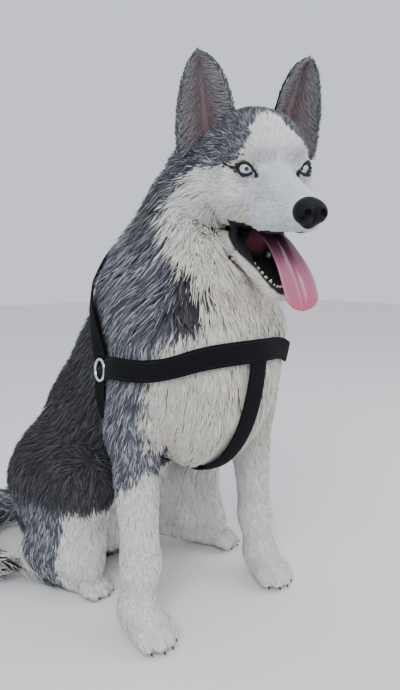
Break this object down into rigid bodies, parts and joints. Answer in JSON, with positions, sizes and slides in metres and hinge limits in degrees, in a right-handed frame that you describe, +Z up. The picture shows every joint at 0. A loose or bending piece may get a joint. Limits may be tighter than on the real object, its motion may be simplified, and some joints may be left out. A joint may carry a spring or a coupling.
{
  "type": "siberian husky in a harness",
  "caption": "Life-size still model of a sitting Siberian husky with pricked ears, an open mouth, a bushy tail and a plain black webbing harness.",
  "frame": {"origin": "on the ground, under the middle of the whole animal's box", "axes": "+Z up, the chest faces -Y, the dog's left side is +X; the head turns about 21 degrees to the dog's right"},
  "size_m": [0.4342, 0.661, 0.7273],
  "materials": {
    "white_coat": "white and cream fur, soft and matt",
    "grey_coat": "grey fur, each hair banded pale and dark",
    "dark_coat": "near-black fur with a grey undercoat",
    "nose_leather": "black, pebbled and damp",
    "eye": "pale blue iris, wet gloss",
    "tongue": "pink, wet and softly grained",
    "webbing": "black woven webbing, matt",
    "steel": "polished steel wire"
  },
  "bodies": {
    "root": {"head": "white_coat", "nose": "nose_leather", "eye_right": "eye", "eye_left": "eye", "ear_right": "dark_coat", "ear_left": "dark_coat", "lower_jaw": "white_coat", "tongue": "tongue", "neck": "grey_coat", "chest": "grey_coat", "rump": "dark_coat", "foreleg_right": "white_coat", "forepaw_right": "white_coat", "thigh_right": "dark_coat", "shank_right": "white_coat", "hindpaw_right": "white_coat", "foreleg_left": "white_coat", "forepaw_left": "white_coat", "thigh_left": "dark_coat", "shank_left": "white_coat", "hindpaw_left": "white_coat", "tail_base": "dark_coat", "tail_middle": "dark_coat", "tail_tip": "white_coat", "ring_right": "steel", "ring_left": "steel", "ring_back": "steel", "strap_chest": "webbing", "strap_back": "webbing", "strap_girth": "webbing", "strap_sternum": "webbing"}
  },
  "joints": []
}
